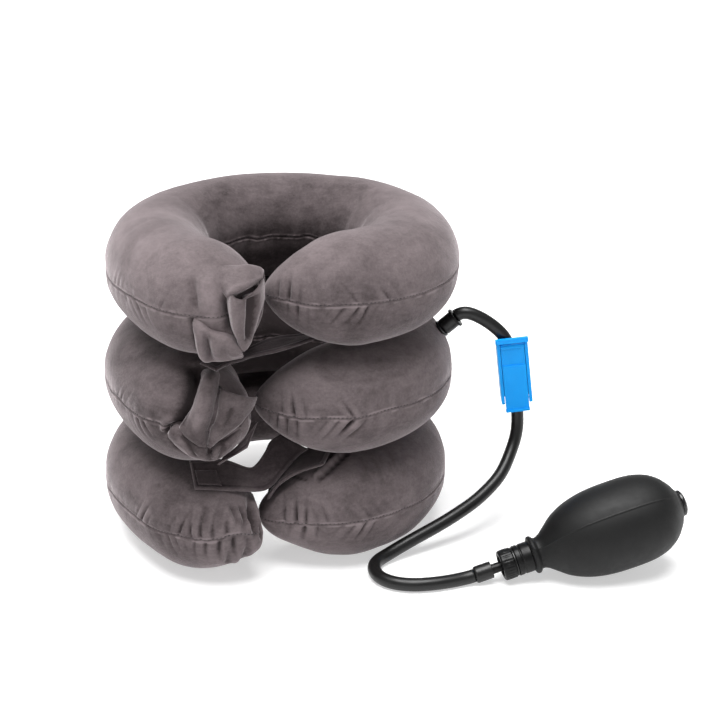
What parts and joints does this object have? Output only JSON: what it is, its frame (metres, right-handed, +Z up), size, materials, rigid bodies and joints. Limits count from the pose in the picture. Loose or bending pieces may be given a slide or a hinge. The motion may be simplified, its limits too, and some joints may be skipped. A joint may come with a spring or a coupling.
{
  "type": "cervical traction device",
  "caption": "Stacked inflatable velour neck rings with closing straps, an air hose with a pinch clamp, and a rubber squeeze bulb with its valves.",
  "frame": {"origin": "middle of the footprint of the collar and the bulb, on the surface that they stand on", "axes": "+X from the collar towards the bulb's tail, +Y from the closing gap towards the back of the neck, +Z up"},
  "size_m": [0.3575, 0.2222, 0.2036],
  "materials": {
    "velour": "taupe-grey short-pile velour, brushed",
    "bladder": "thin smooth rubber, matt",
    "hook": "dark hook tape",
    "hose_rubber": "black rubber, satin",
    "bulb_rubber": "dark grey rubber, matt",
    "hard_plastic": "black moulded plastic, glossy",
    "clamp_plastic": "bright blue moulded plastic, satin gloss"
  },
  "bodies": {
    "base": {"lower_top_panel": "velour", "lower_bottom_panel": "velour", "lower_bladder": "bladder", "lower_strap": "velour", "lower_hook_patch": "hook", "lower_air_link": "bladder", "air_hose": "hose_rubber", "squeeze_bulb": "bulb_rubber", "valve_body": "hard_plastic", "collar_seal": "hose_rubber", "hose_cuff": "hose_rubber", "ball_stop": "hard_plastic", "intake_cap": "hard_plastic", "flap_keeper": "hard_plastic"},
    "middle_ring": {"middle_top_panel": "velour", "middle_bottom_panel": "velour", "middle_bladder": "bladder", "middle_strap": "velour", "tab_strap": "velour", "middle_hook_patch": "hook", "upper_air_link": "bladder"},
    "upper_ring": {"upper_top_panel": "velour", "upper_bottom_panel": "velour", "upper_bladder": "bladder", "upper_strap": "velour", "upper_hook_patch": "hook"},
    "hose_port": {"port_flange": "hard_plastic", "hose_sleeve": "hose_rubber", "sleeve_band": "hard_plastic", "clamp_body": "clamp_plastic", "clamp_pin": "clamp_plastic"},
    "clamp_lever": {"clamp_lever": "clamp_plastic"},
    "release_collar": {"release_collar": "hard_plastic"},
    "outlet_ball": {"outlet_ball": "hose_rubber"},
    "intake_flap": {"intake_flap": "hose_rubber"}
  },
  "joints": [
    {"name": "middle_ring_deflate", "type": "slide", "parent": "base", "child": "middle_ring", "axis": [0, 0, -1], "range_m": [0, 0.05075], "stiffness_N_per_m": 3000, "deforming": ["lower_top_panel", "lower_bottom_panel", "lower_bladder", "lower_strap", "lower_hook_patch", "lower_air_link", "middle_top_panel", "middle_bottom_panel", "middle_bladder", "middle_strap", "tab_strap", "middle_hook_patch"]},
    {"name": "upper_ring_deflate", "type": "slide", "parent": "middle_ring", "child": "upper_ring", "axis": [0, 0, -1], "range_m": [0, 0.03425], "deforming": ["upper_top_panel", "upper_bottom_panel", "upper_bladder", "upper_strap", "upper_hook_patch", "upper_air_link"]},
    {"name": "hose_port_deflate", "type": "slide", "parent": "base", "child": "hose_port", "axis": [0, 0, -1], "range_m": [0, 0.06185], "deforming": ["air_hose"]},
    {"name": "clamp_lever_hinge", "type": "hinge", "parent": "hose_port", "child": "clamp_lever", "pos_m": [0.0777, -0.0038, 0.11444], "axis": [-0.9929, 0, -0.1192], "range_deg": [0, 80]},
    {"name": "release_collar_turn", "type": "hinge", "parent": "base", "child": "release_collar", "pos_m": [0.06984, -0.09476, 0.01076], "axis": [0.9443, 0.1921, 0.2672], "range_deg": [0, 180]},
    {"name": "outlet_ball_lift", "type": "slide", "parent": "base", "child": "outlet_ball", "axis": [-0.9443, -0.1921, -0.2672], "range_m": [0, 0.0025]},
    {"name": "intake_flap_lift", "type": "slide", "parent": "base", "child": "intake_flap", "axis": [-0.9443, -0.1921, -0.2672], "range_m": [0, 0.002], "stiffness_N_per_m": 20}
  ],
  "couplings": [
    {"joint": "upper_ring_deflate", "follows": "middle_ring_deflate", "ratio": 0.67488},
    {"joint": "hose_port_deflate", "follows": "middle_ring_deflate", "ratio": 1.2187}
  ]
}
